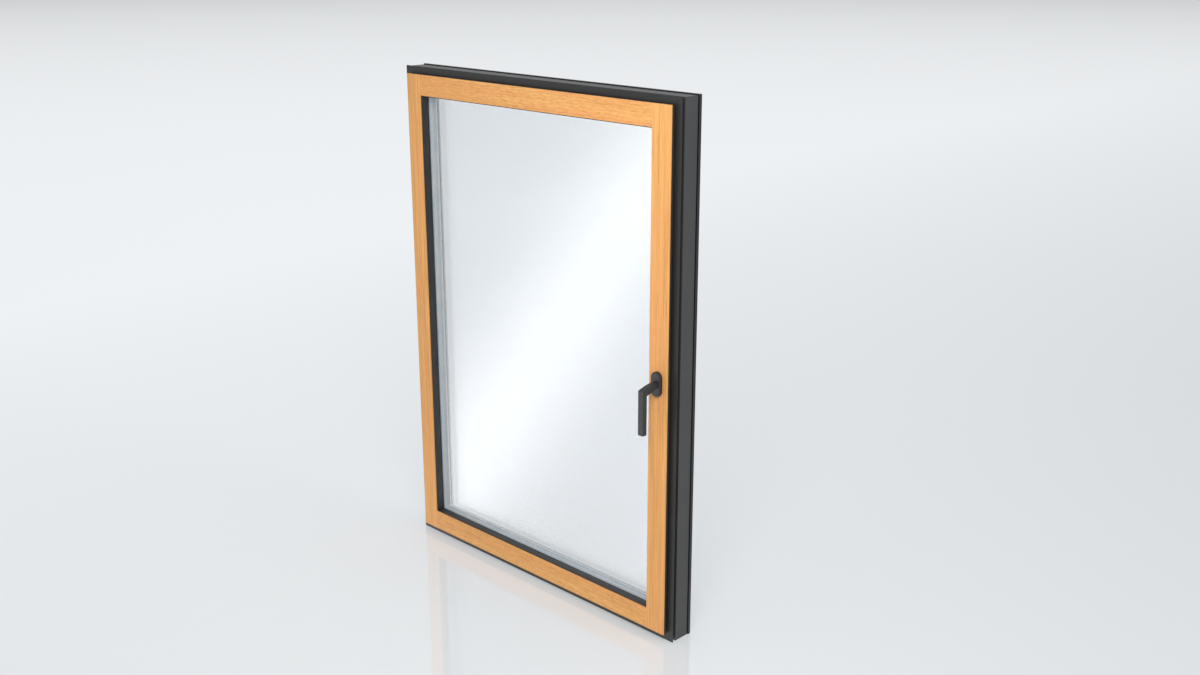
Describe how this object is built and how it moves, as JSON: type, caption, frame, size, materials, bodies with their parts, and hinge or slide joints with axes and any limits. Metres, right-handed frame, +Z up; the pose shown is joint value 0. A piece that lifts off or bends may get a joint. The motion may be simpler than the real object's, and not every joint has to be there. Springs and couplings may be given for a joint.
{
  "type": "casement window",
  "caption": "Side-hung casement window with a dark frame, timber-faced sash, triple glazing, lever handle and hidden lock rods",
  "frame": {"origin": "centre of the flat underside of the sill, in the middle of the frame's core", "axes": "+X across the width towards the lock side, +Y from the room to the outside, +Z up; the sash's timber face looks along -Y"},
  "size_m": [1.07, 0.1585, 1.48],
  "materials": {
    "frame_powder_coat": "anthracite powder coat on an extruded profile, fine texture, satin",
    "cover_powder_coat": "anthracite powder coat, fine texture, satin",
    "cladding_powder_coat": "near-black powder coat, fine texture, satin",
    "sash_composite": "graphite-black reinforced composite profile, fine texture, satin",
    "timber": "honey-coloured softwood lamella, straight grain, satin oil",
    "glass": "clear float glass, polished",
    "spacer": "light grey-blue warm-edge spacer bar, matt",
    "edge_sealant": "black sealant, matt",
    "seal_rubber": "black EPDM, matt",
    "polyamide": "moulded black polyamide, matt",
    "key_aluminium": "mill finish",
    "zinc_plate": "zinc-plated steel, satin",
    "bright_steel": "turned steel, bright",
    "gear_housing": "die-cast zinc, fine sand texture",
    "handle_black": "matt black powder coat"
  },
  "bodies": {
    "frame": {"frame_head": "frame_powder_coat", "frame_sill": "frame_powder_coat", "frame_jamb_left": "frame_powder_coat", "frame_jamb_right": "frame_powder_coat", "cover_head": "cover_powder_coat", "cover_sill": "cover_powder_coat", "cover_left": "cover_powder_coat", "cover_right": "cover_powder_coat", "outer_cladding": "cladding_powder_coat", "cladding_clips": "polyamide", "frame_corner_keys": "key_aluminium", "outer_seal": "seal_rubber", "drain_caps": "polyamide", "hinge_frame_leaf_bottom": "zinc_plate", "hinge_frame_leaf_middle": "zinc_plate", "hinge_frame_leaf_top": "zinc_plate", "hinge_pins": "bright_steel", "hinge_frame_screws": "bright_steel", "keeps_side": "zinc_plate", "keep_top": "zinc_plate", "keep_screws": "bright_steel", "run_up_block": "polyamide"},
    "sash": {"sash_stile_hinge": "sash_composite", "sash_stile_lock": "sash_composite", "sash_rail_top": "sash_composite", "sash_rail_bottom": "sash_composite", "facing_stile_hinge": "timber", "facing_stile_lock": "timber", "facing_rail_top": "timber", "facing_rail_bottom": "timber", "sash_corner_keys": "key_aluminium", "sash_outer_beads": "sash_composite", "inner_seal": "seal_rubber", "pane_inner": "glass", "pane_middle": "glass", "pane_outer": "glass", "spacer_inner": "spacer", "spacer_outer": "spacer", "edge_seal": "edge_sealant", "glazing_gasket_inner": "seal_rubber", "glazing_gasket_outer": "seal_rubber", "glazing_blocks": "polyamide", "hinge_sash_leaf_bottom": "zinc_plate", "hinge_sash_leaf_middle": "zinc_plate", "hinge_sash_leaf_top": "zinc_plate", "hinge_sash_screws": "bright_steel", "gear_case": "gear_housing", "faceplates": "zinc_plate", "corner_drive": "zinc_plate", "faceplate_screws": "bright_steel", "rosette_base": "handle_black", "rosette_cover": "handle_black", "handle_screws": "bright_steel"},
    "handle": {"handle_lever": "handle_black", "spindle": "bright_steel", "gear_pinion": "bright_steel"},
    "side_rod": {"lock_rod_side": "bright_steel", "cams_side": "bright_steel"},
    "top_rod": {"lock_rod_top": "bright_steel", "cam_top": "bright_steel"}
  },
  "joints": [
    {"name": "sash_turn", "type": "hinge", "parent": "frame", "child": "sash", "pos_m": [-0.508, -0.0455, 0.74], "axis": [0, 0, -1], "range_deg": [0, 95]},
    {"name": "handle_turn", "type": "hinge", "parent": "sash", "child": "handle", "pos_m": [0.4815, -0.054, 0.74], "axis": [0, 1, 0], "range_deg": [0, 90]},
    {"name": "side_rod_slide", "type": "slide", "parent": "sash", "child": "side_rod", "axis": [0, 0, -1], "range_m": [0, 0.0118]},
    {"name": "top_rod_slide", "type": "slide", "parent": "sash", "child": "top_rod", "axis": [1, 0, 0], "range_m": [0, 0.0118]}
  ],
  "couplings": [
    {"joint": "side_rod_slide", "follows": "handle_turn", "m_per_rad": 0.0075},
    {"joint": "top_rod_slide", "follows": "handle_turn", "m_per_rad": 0.0075}
  ]
}
